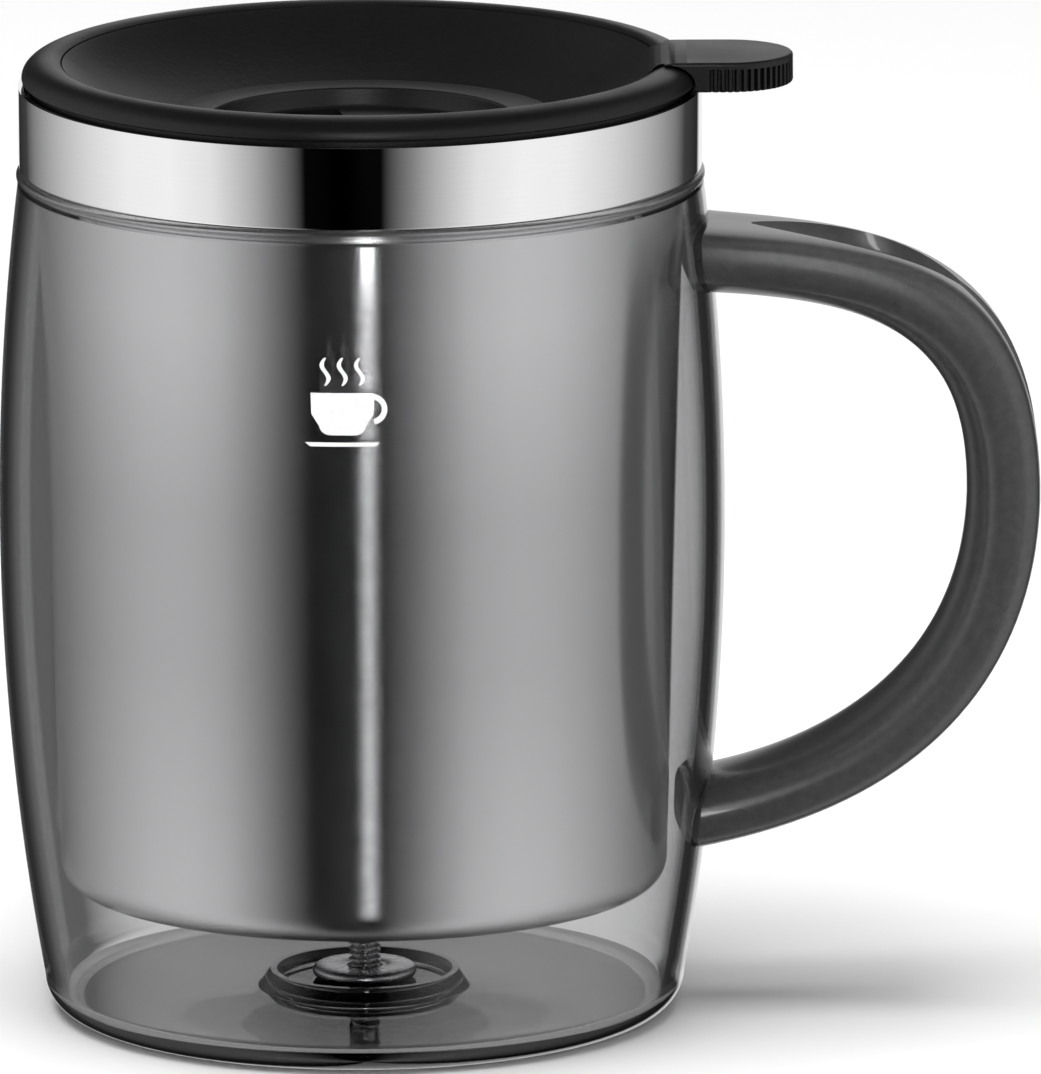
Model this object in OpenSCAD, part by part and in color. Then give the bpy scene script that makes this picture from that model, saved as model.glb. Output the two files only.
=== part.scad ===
// Insulated desk mug: a steel cup hung in a clear barrel shell, with a C handle
// and a push-in lid whose rotary closure is turned by a thumb lever.
// Millimetres. The origin is on the mug's axis at the table, +Z up, handle along +X.

/* [Barrel shell] */
// Widest outside radius of the barrel
barrel_r = 45.2; // [45:0.1:46]
// Radius of the arc that bulges the barrel's side
bulge_r = 335; // [325:5:360]
// Height of the barrel's widest point
bulge_z = 63.3; // [61:0.1:66]
// Height of the shell's mouth
shell_top = 105.2; // [105:0.1:105.4]
// Wall of the shell
shell_wall = 2.3; // [2:0.1:2.4]
// Thickness of the shell's floor
floor_t = 2.7; // [2.6:0.1:3]
// Outside corner radius at the foot
foot_corner = 4.6; // [3:0.2:5]

/* [Base fastening] */
// Radius of the raised boss where it leaves the floor
boss_r = 13; // [12.6:0.1:14]
// Height of the boss's rim above the table
boss_top = 4.8; // [4.6:0.1:5]
// Radius of the nut recess under the boss
recess_r = 11; // [10.5:0.1:11.4]
// Radius of the threaded stud
stud_r = 1.9; // [1.7:0.1:2]
// Radius of the stop nut's round flange
stop_nut_r = 6.5; // [6:0.1:7]

/* [Steel liner] */
// Outside radius of the exposed steel band
band_r = 42.4; // [42.3:0.1:42.6]
// Height of the shoulder that rests on the lip gasket
shoulder_z = 106.7; // [106.5:0.1:106.8]
// Height of the steel lip
liner_top = 117.1; // [116.8:0.1:117.2]
// Outside radius of the cup just under its shoulder
cup_top_r = 40; // [39.6:0.1:40.2]
// Outside radius of the cup near its bottom
cup_low_r = 38; // [37:0.1:38.4]
// Height of the cup's outside bottom
cup_low_z = 16.2; // [15:0.1:18]
// Sheet thickness of the liner
sheet = 0.6; // [0.5:0.05:0.7]

/* [Lid] */
// Outside radius of the lid's rim
lid_r = 42; // [41.8:0.1:42.2]
// Height of the rim's lower edge
lid_low = 117.8; // [117.6:0.1:118]
// Height of the rim's top
lid_top = 120.5; // [120.4:0.1:120.6]
// Radius of the basin that holds the closure's disc
basin_r = 24.4; // [24:0.1:25]
// Height at which the funnel starts, round the disc
funnel_low = 112.9; // [112.7:0.1:113]
// Radius of the rolled rim's crest
crest_r = 38.6; // [38.4:0.1:38.8]
// Height of the basin's floor
basin_floor = 109; // [108.8:0.1:109.2]
// Outside radius of the lid's skirt
skirt_r = 41; // [40.8:0.1:41.2]

/* [Closure] */
// Gap between the closure and the lid it turns over
turn_gap = 0.35; // [0.3:0.05:0.4]
// Thickness of the bowl that turns with the lever
bowl_t = 1.2; // [1:0.1:1.4]
// Height of the lever's top face
lever_top = 121.05; // [121:0.05:121.3]
// Height of the lever's underside beyond the rim
lever_low = 117.3; // [117.1:0.1:117.5]
// Width of the lever
lever_w = 16.3; // [14:0.1:18]
// Distance of the lever's tip from the axis
lever_reach = 53.7; // [52:0.1:56]
// Radius of the closure's hub
hub_r = 3.95; // [3.5:0.05:4.5]
// Turn of the lever from closed to open, in degrees
open_turn = 60; // [50:5:70]

/* [Handle] */
// Thickness of the handle at its roots
handle_t_ends = 8.1; // [7.5:0.1:9]
// How much thicker the handle is in its middle
handle_t_more = 1; // [0.5:0.1:1.5]
// Width of the handle across the mug
handle_w = 18.5; // [16:0.5:20]
// Depth of the long slot in the top of the handle
slot_deep = 5; // [4:0.1:5.2]

/* [Hidden] */
$fn = 96;

running_gap = 0.05;
boss_rim_w = 0.8;
boss_face = 3.5;
boss_rim_r = boss_r - 1.2;
recess_top = 2.3;
cavity_corner = 1.6;
side_steps = 36;
stop_nut_low = 3.75;
stud_low = 1;
weld_h = 0.7;
stop_nut_t = 1.45;
base_nut_skin = 0.8;
base_nut_top = 2.05;
base_nut_r = recess_r - 0.2;
spanner_hole_r = 1.2;
spanner_pitch = 13;
cup_corner = 4;
lid_wall = 1.6;
lid_floor_t = 1.6;
rim_shoulder = 118.2;
funnel_steps = 20;
bowl_steps = 15;
skirt_in_r = skirt_r - 2.4;
skirt_low = 108.8;
groove_r = skirt_r - 1.1;
groove_low = 111.4;
groove_top = 114.6;
gasket_lip_r = band_r - sheet - 0.06;
disc_r = basin_r - 0.4;
disc_land_r = 18.8;
disc_top = 113;
disc_low = basin_floor + 0.3;
disc_plate_t = 1.3;
slot_in_r = 13;
slot_out_r = 17.5;
slot_half_angle = 20;
vent_r = 0.9;
vent_at = 15.25;
seal_w = 1;
seal_sunk = 0.6;
seal_top = basin_floor + 0.25;
rib_count = 16;
rib_step = 6.5;
rib_deep = 0.5;
hub_low = 105.4;
ring_z = 108.2;
ring_r = 0.46;
clip_z = 106.6;
clip_t = 0.7;
clip_r = 5.4;
hub_groove_r = 2.98;

// Middle line of the handle as two curves in the X-Z plane, upper and lower limb
upper_limb = [[41.8, 95.6], [62, 94.2], [80.2, 92.4], [79.85, 65]];
lower_limb = [[79.85, 65], [79.25, 42.8], [64.3, 29.4], [41, 25.3]];
handle_rings = 64;
handle_half_points = 26;
outer_power = 4.5;
inner_power = 2.4;
slot_from = 0.05;
slot_to = 0.3;
slot_half_w = 5.4;
groove_from = 0.26;
groove_to = 0.64;
groove_deep = 1.7;
groove_half_w = 4.2;

// Outside radius of the barrel at height z, or of a face set in by inset
function barrel_edge(z, inset = 0) =
    barrel_r - bulge_r + sqrt(pow(bulge_r - inset, 2) - pow(z - bulge_z, 2));

// Points along an arc from angle a to angle b
function arc(centre, r, a, b, steps = 8) =
    [for (i = [0:steps]) centre + r * [cos(a + (b - a) * i / steps), sin(a + (b - a) * i / steps)]];

// Curve from the funnel's start up to the crest of the rolled rim, t running from 0 to 1
function funnel_point(t) = bezier(
    [[basin_r, funnel_low], [crest_r - 4, rim_shoulder - 0.8], [crest_r - 2, lid_top], [crest_r, lid_top]], t);

// Rolled rim from just outside the bowl over the crest to the rim's side, moved out by gap
function rim_face(gap) = concat(
    [for (i = [bowl_steps + 1:funnel_steps]) funnel_point(i / funnel_steps) + [0, gap]],
    [for (i = [1:14]) [
        crest_r + (lid_r + gap - crest_r) * sin(90 * i / 14),
        rim_shoulder + (lid_top + gap - rim_shoulder) * cos(90 * i / 14)
    ]],
    [[lid_r + gap, lid_low]]
);

function bezier(p, t) =
    pow(1 - t, 3) * p[0] + 3 * pow(1 - t, 2) * t * p[1] + 3 * (1 - t) * t * t * p[2] + t * t * t * p[3];
function bezier_slope(p, t) =
    pow(1 - t, 2) * (p[1] - p[0]) + 2 * (1 - t) * t * (p[2] - p[1]) + t * t * (p[3] - p[2]);
function unit(v) = v / norm(v);

// Middle line, its direction and the handle's size at s, from 0 at the top root to 1 at the lower
function spine(s) = s < 0.5 ? bezier(upper_limb, 2 * s) : bezier(lower_limb, 2 * s - 1);
function spine_dir(s) = unit(s < 0.5 ? bezier_slope(upper_limb, 2 * s) : bezier_slope(lower_limb, 2 * s - 1));
function root_flare(s) = 1.4 * (exp(-s * 16) + 0.6 * exp((s - 1) * 16));
function handle_thick(s) =
    handle_t_ends + handle_t_more * sin(180 * s) + 0.5 * exp(-pow((s - 0.3) / 0.1, 2)) + 0.4 * root_flare(s);
function handle_wide(s) = handle_w + 1.2 * root_flare(s);

// Depth of the slot and of the shallow groove that follows it, y mm from the spine
function dish(y, half_w, deep) = deep * sqrt(max(0, 1 - pow(y / max(half_w, 0.01), 2)));
function swell(s, from, to) = pow(max(0, sin(180 * min(1, max(0, (s - from) / (to - from))))), 0.75);
function spine_cut(s, y) =
    let (slot = swell(s, slot_from, slot_to), groove = swell(s, groove_from, groove_to))
    max(dish(y, slot_half_w * slot, slot_deep * slot), dish(y, groove_half_w * groove, groove_deep * groove));

// One point of the handle's section: j runs over the outer face and back over the inner one
function section_point(s, j) =
    let (
        outer = j <= handle_half_points,
        u = cos(180 * j / handle_half_points),
        power = outer ? outer_power : inner_power,
        v = pow(max(0, 1 - pow(abs(u), power)), 1 / power),
        y = u * handle_wide(s) / 2,
        half_t = handle_thick(s) / 2,
        out = outer ? v * half_t - spine_cut(s, y) : -v * half_t,
        d = spine_dir(s),
        at = spine(s) + out * [-d[1], d[0]]
    )
    [at[0], y, at[1]];

// Points up the barrel's side between two heights, on the face set in by inset
function barrel_side(inset, low, high) =
    [for (i = [0:side_steps]) let (z = low + (high - low) * i / side_steps) [barrel_edge(z, inset), z]];

// Round corner that runs from a flat bottom at height low into the barrel's side
function barrel_corner(inset, low, corner) =
    arc([barrel_edge(low + corner, inset) - corner, low + corner], corner, -90, -1);

function reversed(list) = [for (i = [len(list) - 1:-1:0]) list[i]];

module outer_shell() {
    hole_r = stud_r + 0.3;
    color([0.42, 0.42, 0.43, 0.45])
    rotate_extrude() polygon(concat(
        [[hole_r, recess_top], [recess_r, recess_top], [recess_r, 0]],
        barrel_corner(0, 0, foot_corner),
        barrel_side(0, foot_corner, shell_top),
        reversed(barrel_side(shell_wall, floor_t + cavity_corner, shell_top)),
        reversed(barrel_corner(shell_wall, floor_t, cavity_corner)),
        [[boss_r, floor_t], [boss_rim_r, boss_top], [boss_rim_r - boss_rim_w, boss_top]],
        [[boss_rim_r - boss_rim_w - 0.5, boss_face], [hole_r, boss_face]]
    ));
}

module lip_gasket() {
    color([0.75, 0.75, 0.75, 0.6])
    rotate_extrude() polygon(concat(
        [[cup_top_r + 0.6, shell_top], [band_r, shell_top]],
        arc([band_r - 0.2, (shell_top + shoulder_z) / 2], 0.35, -60, 60),
        [[band_r, shoulder_z], [cup_top_r + 0.6, shoulder_z]]
    ));
}

module steel_liner() {
    inner_low_r = cup_low_r - sheet;
    inner_top_r = cup_top_r - sheet;
    color([0.7, 0.7, 0.72])
    rotate_extrude() polygon(concat(
        [[0, cup_low_z]],
        arc([cup_low_r - cup_corner, cup_low_z + cup_corner], cup_corner, -90, 0),
        [[cup_top_r, shoulder_z - 0.5], [cup_top_r + 0.5, shoulder_z], [band_r - 0.5, shoulder_z]],
        arc([band_r - 0.4, shoulder_z + 0.4], 0.4, -90, 0, 4),
        arc([band_r - sheet / 2, liner_top - sheet / 2], sheet / 2, 0, 180),
        [[band_r - sheet, shoulder_z + sheet], [inner_top_r + 0.4, shoulder_z + sheet]],
        [[inner_top_r, shoulder_z + sheet - 0.4]],
        arc([cup_low_r - cup_corner, cup_low_z + cup_corner], cup_corner - sheet, 0, -90),
        [[0, cup_low_z + sheet]]
    ));
}

module stud() {
    color([0.6, 0.6, 0.62]) {
        translate([0, 0, stud_low]) cylinder(r = stud_r, h = cup_low_z - stud_low);
        translate([0, 0, cup_low_z - weld_h]) cylinder(r1 = stud_r, r2 = stud_r + weld_h, h = weld_h);
    }
}

module stop_nut() {
    edge = stop_nut_t / 2;
    color([0.65, 0.65, 0.67])
    difference() {
        translate([0, 0, stop_nut_low]) rotate_extrude() union() {
            square([stop_nut_r - edge, stop_nut_t]);
            translate([stop_nut_r - edge, edge]) circle(r = edge);
        }
        cylinder(r = stud_r + running_gap, h = 2 * boss_top);
    }
}

module washer(low, top, out_r, in_r) {
    translate([0, 0, low]) difference() {
        cylinder(r = out_r, h = top - low);
        translate([0, 0, -1]) cylinder(r = in_r, h = top - low + 2);
    }
}

module boss_seal() {
    color([0.15, 0.15, 0.15]) washer(boss_face, stop_nut_low, stop_nut_r - 1.4, stud_r + 0.3);
}

// Round cap nut, closed underneath and flush with the shell's foot
module base_nut() {
    color([0.1, 0.1, 0.1]) difference() {
        cylinder(r = base_nut_r, h = base_nut_top);
        translate([0, 0, base_nut_skin]) cylinder(r = stud_r + running_gap, h = base_nut_top);
        for (side = [-1, 1])
            translate([side * spanner_pitch / 2, 0, -1]) cylinder(r = spanner_hole_r, h = 2.6);
    }
}

module base_seal() {
    color([0.15, 0.15, 0.15]) washer(base_nut_top, recess_top, base_nut_r - 1.2, stud_r + 0.6);
}

module handle() {
    count = 2 * handle_half_points;
    color([0.35, 0.35, 0.36, 0.8])
    polyhedron(
        points = [
            for (i = [0:handle_rings]) for (j = [0:count - 1]) section_point(i / handle_rings, j)
        ],
        faces = concat(
            [[for (j = [0:count - 1]) j]],
            [[for (j = [0:count - 1]) handle_rings * count + count - 1 - j]],
            [for (i = [0:handle_rings - 1]) for (j = [0:count - 1])
                [i * count + (j + 1) % count, i * count + j, (i + 1) * count + j]],
            [for (i = [0:handle_rings - 1]) for (j = [0:count - 1])
                [i * count + (j + 1) % count, (i + 1) * count + j, (i + 1) * count + (j + 1) % count]]
        ),
        convexity = 6
    );
}

// Curved slot between two radii, about a direction, over the given heights
module curved_slot(in_r, out_r, half_angle, towards, low, top) {
    reach = 2 * out_r;
    rotate([0, 0, towards]) translate([0, 0, low]) intersection() {
        difference() {
            cylinder(r = out_r, h = top - low);
            translate([0, 0, -1]) cylinder(r = in_r, h = top - low + 2);
        }
        linear_extrude(height = top - low) polygon([
            [0, 0],
            [reach * cos(half_angle), -reach * sin(half_angle)],
            [reach * cos(half_angle), reach * sin(half_angle)],
        ]);
    }
}

module lid_section() {
    drop = [0, -bowl_t - turn_gap];
    step = funnel_point((bowl_steps + 1) / funnel_steps);
    under = [
        for (i = [bowl_steps + 1:-1:2])
            let (p = funnel_point(i / funnel_steps) + drop)
            [p[0] + 0.5, min(p[1] - lid_wall * 1.1, lid_top - 2.2)]
    ];
    polygon(concat(
        [[hub_r + running_gap, basin_floor], [basin_r, basin_floor]],
        [for (i = [0:bowl_steps]) funnel_point(i / funnel_steps) + drop],
        [step + drop],
        rim_face(0),
        [[skirt_r, lid_low], [skirt_r, groove_top], [groove_r, groove_top]],
        [[groove_r, groove_low], [skirt_r, groove_low], [skirt_r, skirt_low], [skirt_in_r, skirt_low]],
        [[skirt_in_r, lid_top - 2.2]],
        under,
        [[basin_r + lid_wall, basin_floor - lid_floor_t], [hub_r + running_gap, basin_floor - lid_floor_t]]
    ));
}

// Pocket or ring that lies round the drinking slot
module seal_ring(low, top) {
    widen = atan(seal_w / slot_in_r);
    difference() {
        curved_slot(slot_in_r - seal_w, slot_out_r + seal_w, slot_half_angle + widen, 180, low, top);
        curved_slot(slot_in_r, slot_out_r, slot_half_angle, 180, low - 1, top + 1);
    }
}

module lid_shell() {
    color([0.08, 0.08, 0.08])
    difference() {
        rotate_extrude() lid_section();
        curved_slot(slot_in_r, slot_out_r, slot_half_angle, 180, basin_floor - 5, basin_floor + 1);
        translate([vent_at, 0, basin_floor - 5]) cylinder(r = vent_r, h = 6);
        seal_ring(basin_floor - seal_sunk, basin_floor + 1);
    }
}

module drink_seal() {
    color([0.25, 0.25, 0.25]) seal_ring(basin_floor - seal_sunk, seal_top);
}

module lid_gasket() {
    lip = [for (z = [groove_low + 0.5, groove_low + 1.9]) [
        [skirt_r + 0.1, z], [gasket_lip_r, z + 0.35], [gasket_lip_r, z + 0.6], [skirt_r + 0.1, z + 0.8]
    ]];
    color([0.3, 0.3, 0.3])
    rotate_extrude() polygon(concat(
        [[groove_r, groove_low], [skirt_r + 0.1, groove_low]],
        lip[0],
        lip[1],
        [[skirt_r + 0.1, groove_top], [groove_r, groove_top]]
    ));
}

// Side view of the lever, drawn in X and Z
module lever_side() {
    polygon([
        [33.5, 117.6], [34.2, lever_top - 2.75], [35.35, lever_top - 1.5], [36, lever_top - 0.92],
        [36.6, lever_top - 0.58], [37.3, lever_top - 0.3], [38.2, lever_top - 0.1], [39.5, lever_top],
        [lever_reach - 0.3, lever_top], [lever_reach, lever_top - 0.3], [lever_reach, lever_low + 0.2],
        [lever_reach - 0.3, lever_low], [33.5, lever_low],
    ]);
}

// Plan view of the lever: a round tip and straight sides
module lever_plan() {
    tip = lever_reach - lever_w / 2;
    side = concat([[33, -lever_w / 2]], arc([tip, 0], lever_w / 2, -90, 0, 20));
    polygon(concat(side, [for (i = [len(side) - 2:-1:0]) [side[i][0], -side[i][1]]]));
}

// Grooves between the ribs round the tip, which stop short of the top face
module rib_grooves() {
    tip = lever_reach - lever_w / 2;
    wide = lever_w / 2 * rib_step * 0.58 * PI / 180;
    for (i = [-rib_count:rib_count]) {
        turn = min(90, max(-90, rib_step * i));
        past = (abs(rib_step * i) - abs(turn)) * PI / 180 * lever_w / 2;
        translate([tip - past, 0, lever_low - 2]) rotate([0, 0, turn])
            translate([lever_w / 2 - rib_deep, -wide / 2, 0]) cube([1, wide, lever_top - lever_low + 1.35]);
    }
}

module lever() {
    difference() {
        intersection() {
            translate([0, lever_w, 0]) rotate([90, 0, 0]) linear_extrude(height = 2 * lever_w) lever_side();
            translate([0, 0, disc_low]) linear_extrude(height = 20) lever_plan();
        }
        rotate_extrude() polygon(concat(
            [[basin_r, disc_low]],
            [for (i = [0:bowl_steps]) funnel_point(i / funnel_steps) - [0, bowl_t / 2]],
            [funnel_point(bowl_steps / funnel_steps)],
            rim_face(turn_gap),
            [[lid_r + turn_gap, disc_low]]
        ));
        rib_grooves();
    }
}

module closure_disc() {
    plate_top = disc_low + disc_plate_t;
    color([0.1, 0.1, 0.1])
    difference() {
        union() {
            rotate_extrude() polygon(concat(
                [[0, disc_low], [disc_r, disc_low], [disc_r, funnel_low - bowl_t]],
                [for (i = [0:bowl_steps]) funnel_point(i / funnel_steps) - [0, bowl_t]],
                [for (i = [bowl_steps:-1:0]) funnel_point(i / funnel_steps)],
                [[disc_r, disc_top], [disc_land_r + 0.3, disc_top], [disc_land_r, disc_top - 0.3]],
                [[disc_land_r - 0.6, plate_top], [0, plate_top]]
            ));
            rotate_extrude() polygon([
                [0, disc_low + 0.5], [hub_r, disc_low + 0.5], [hub_r, ring_z + 0.5],
                [hub_groove_r, ring_z + 0.5], [hub_groove_r, ring_z - 0.5], [hub_r, ring_z - 0.5],
                [hub_r, clip_z + clip_t + 0.02], [hub_groove_r, clip_z + clip_t + 0.02],
                [hub_groove_r, clip_z - 0.02], [hub_r, clip_z - 0.02],
                [hub_r, hub_low + 0.5], [hub_r - 0.5, hub_low], [0, hub_low],
            ]);
            lever();
        }
        curved_slot(slot_in_r, slot_out_r, slot_half_angle, 180 - open_turn, disc_low - 1, plate_top + 1);
        rotate([0, 0, -open_turn]) translate([vent_at, 0, disc_low - 1])
            cylinder(r = vent_r, h = disc_plate_t + 2);
    }
}

module hub_ring() {
    color([0.2, 0.2, 0.2]) rotate_extrude() translate([hub_groove_r + ring_r, ring_z]) circle(r = ring_r);
}

module hub_clip() {
    opening = 2 * hub_groove_r - 1;
    color([0.7, 0.7, 0.72])
    translate([0, 0, clip_z]) difference() {
        cylinder(r = clip_r, h = clip_t);
        translate([0, 0, -1]) cylinder(r = hub_groove_r + 0.02, h = clip_t + 2);
        translate([0, -opening / 2, -1]) cube([2 * clip_r, opening, clip_t + 2]);
    }
}

steel_liner();
stud();
outer_shell();
lip_gasket();
handle();
stop_nut();
boss_seal();
base_nut();
base_seal();
lid_shell();
lid_gasket();
drink_seal();
closure_disc();
hub_ring();
hub_clip();
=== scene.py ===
import math

import bpy
from mathutils import Matrix, Vector


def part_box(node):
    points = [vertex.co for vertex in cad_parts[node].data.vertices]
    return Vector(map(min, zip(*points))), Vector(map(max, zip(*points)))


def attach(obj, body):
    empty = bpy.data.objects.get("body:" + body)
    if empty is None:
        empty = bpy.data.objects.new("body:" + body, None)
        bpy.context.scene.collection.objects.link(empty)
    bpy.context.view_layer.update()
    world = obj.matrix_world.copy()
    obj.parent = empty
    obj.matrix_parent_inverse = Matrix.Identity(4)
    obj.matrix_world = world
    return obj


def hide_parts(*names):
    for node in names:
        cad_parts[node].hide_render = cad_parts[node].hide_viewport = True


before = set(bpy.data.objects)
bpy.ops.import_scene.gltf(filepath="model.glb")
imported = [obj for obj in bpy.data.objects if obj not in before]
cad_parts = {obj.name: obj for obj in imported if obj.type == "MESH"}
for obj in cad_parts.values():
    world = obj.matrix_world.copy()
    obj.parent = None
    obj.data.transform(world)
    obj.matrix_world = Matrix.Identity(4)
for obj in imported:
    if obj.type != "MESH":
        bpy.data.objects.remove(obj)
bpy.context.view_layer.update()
mm = 0.001
print("frame loaded:", len(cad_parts), "nodes")


# helpers

def nodeTop(node):
    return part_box(node)[1].z / mm


def nodeBottom(node):
    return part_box(node)[0].z / mm


def nodeReach(node):
    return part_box(node)[1].x / mm


def clearSelection():
    if bpy.context.object is not None and bpy.context.object.mode != "OBJECT":
        bpy.ops.object.mode_set(mode="OBJECT")
    bpy.ops.object.select_all(action="DESELECT")


def arcPoints(centre, radius, start, end, steps=8):
    turn = [math.radians(start + (end - start) * i / steps) for i in range(steps + 1)]
    return [(centre[0] + radius * math.cos(a), centre[1] + radius * math.sin(a)) for a in turn]


def drawOutline(name, points, close=True):
    # a plane merged to one point is extruded from place to place, in millimetres
    clearSelection()
    bpy.ops.mesh.primitive_plane_add(size=mm, location=(0, 0, 0))
    piece = bpy.context.object
    piece.name = name
    bpy.ops.object.mode_set(mode="EDIT")
    bpy.ops.mesh.select_mode(type="VERT")
    bpy.ops.mesh.merge(type="CENTER")
    path = [Vector(p) * mm for p in (points + [points[0]] if close else points)]
    bpy.ops.transform.translate(value=path[0])
    for here, there in zip(path, path[1:]):
        bpy.ops.mesh.extrude_region_move(TRANSFORM_OT_translate={"value": there - here})
    bpy.ops.mesh.select_all(action="SELECT")
    bpy.ops.mesh.remove_doubles(threshold=0.002 * mm)
    return piece


def closeSkin(angle=35):
    bpy.ops.mesh.select_all(action="SELECT")
    bpy.ops.mesh.remove_doubles(threshold=0.002 * mm)
    bpy.ops.mesh.normals_make_consistent(inside=False)
    bpy.ops.object.mode_set(mode="OBJECT")
    bpy.ops.object.shade_smooth_by_angle(angle=math.radians(angle))


def turnOutline(name, points, close=True, steps=160, angle=35):
    piece = drawOutline(name, [(r, 0, z) for r, z in points], close)
    bpy.ops.mesh.select_all(action="SELECT")
    bpy.ops.mesh.spin(steps=steps, angle=2 * math.pi, center=(0, 0, 0), axis=(0, 0, 1))
    closeSkin(angle)
    return piece


def extrudeOutline(name, points, along):
    piece = drawOutline(name, points)
    bpy.ops.mesh.edge_face_add()
    bpy.ops.mesh.extrude_region_move(TRANSFORM_OT_translate={"value": Vector(along) * mm})
    closeSkin()
    return piece


def applyModifier(piece, kind, **settings):
    clearSelection()
    bpy.context.view_layer.objects.active = piece
    piece.select_set(True)
    modifier = piece.modifiers.new(kind.lower(), kind)
    for key, value in settings.items():
        setattr(modifier, key, value)
    bpy.ops.object.modifier_apply(modifier=modifier.name)


def combine(piece, other, operation):
    applyModifier(piece, "BOOLEAN", object=other, operation=operation, solver="EXACT")
    bpy.data.objects.remove(other, do_unlink=True)


def smoothByAngle(piece, angle):
    clearSelection()
    bpy.context.view_layer.objects.active = piece
    piece.select_set(True)
    bpy.ops.object.shade_smooth_by_angle(angle=math.radians(angle))


def place(piece, body, slot, material, *nodes):
    piece.data.materials.clear()
    piece.data.materials.append(material)
    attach(piece, body)
    if nodes:
        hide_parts(*nodes)


# camera, floor and studio

view = dict(aim=(19.7, 0, 59.5), distance=2469, elevation=12.15, roll=-0.2, lens=664)


def makeCamera():
    tilt = math.radians(view["elevation"])
    aim = Vector(view["aim"]) * mm
    back = Vector((0, -math.cos(tilt), math.sin(tilt))) * view["distance"] * mm
    bpy.ops.object.camera_add(location=aim + back)
    camera = bpy.context.object
    camera.name = "camera"
    camera.data.lens = view["lens"]
    camera.data.clip_end = 50
    roll = Matrix.Rotation(math.radians(view["roll"]), 4, "Z")
    look = (-back).to_track_quat("-Z", "Y").to_matrix().to_4x4()
    camera.matrix_world = Matrix.Translation(aim + back) @ look @ roll
    bpy.context.scene.camera = camera


floorLook = dict(size=16, colour=0.86, roughness=0.7, patch=0.043)


def makeFloor():
    clearSelection()
    bpy.ops.mesh.primitive_plane_add(size=floorLook["size"], location=(0, 0, 0))
    floor = bpy.context.object
    floor.name = "studioFloor"
    material = bpy.data.materials.new("paleFloor")
    material.use_nodes = True
    shader = material.node_tree.nodes["Principled BSDF"]
    shader.inputs["Base Color"].default_value = (floorLook["colour"],) * 3 + (1,)
    shader.inputs["Roughness"].default_value = floorLook["roughness"]
    shader.inputs["Specular IOR Level"].default_value = 0.2
    floor.data.materials.append(material)
    floor.visible_glossy = False
    floor.visible_transmission = False
    # the patch of floor right under the mug, which only its clear base shows
    clearSelection()
    bpy.ops.mesh.primitive_circle_add(vertices=96, radius=floorLook["patch"], fill_type="NGON",
                                      location=(0, 0, -0.00003))
    patch = bpy.context.object
    patch.name = "floorUnderMug"
    patch.data.materials.append(material)
    patch.visible_camera = False
    patch.visible_glossy = False
    patch.visible_diffuse = False
    patch.visible_shadow = False


# brightness of the studio round the mug: degrees from the front, then brightness
studio = dict(
    centre=-5.5,
    around=[(0, 0.0), (13, 0.002), (16.5, 0.08), (23, 0.22), (32, 0.46), (46, 0.80), (62, 0.93),
            (80, 0.90), (100, 0.70), (120, 0.45), (140, 0.20), (149, 0.05), (166, 0.02), (171, 0.9)],
    overhead=0.05, behindLow=1.0,
    strip=dict(centre=2.6, halfWidth=2.0, low=4, high=34, power=16.0),
    backdrop=0.93,
    softbox=dict(size=1.6, height=1.9, power=52),
)


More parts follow.
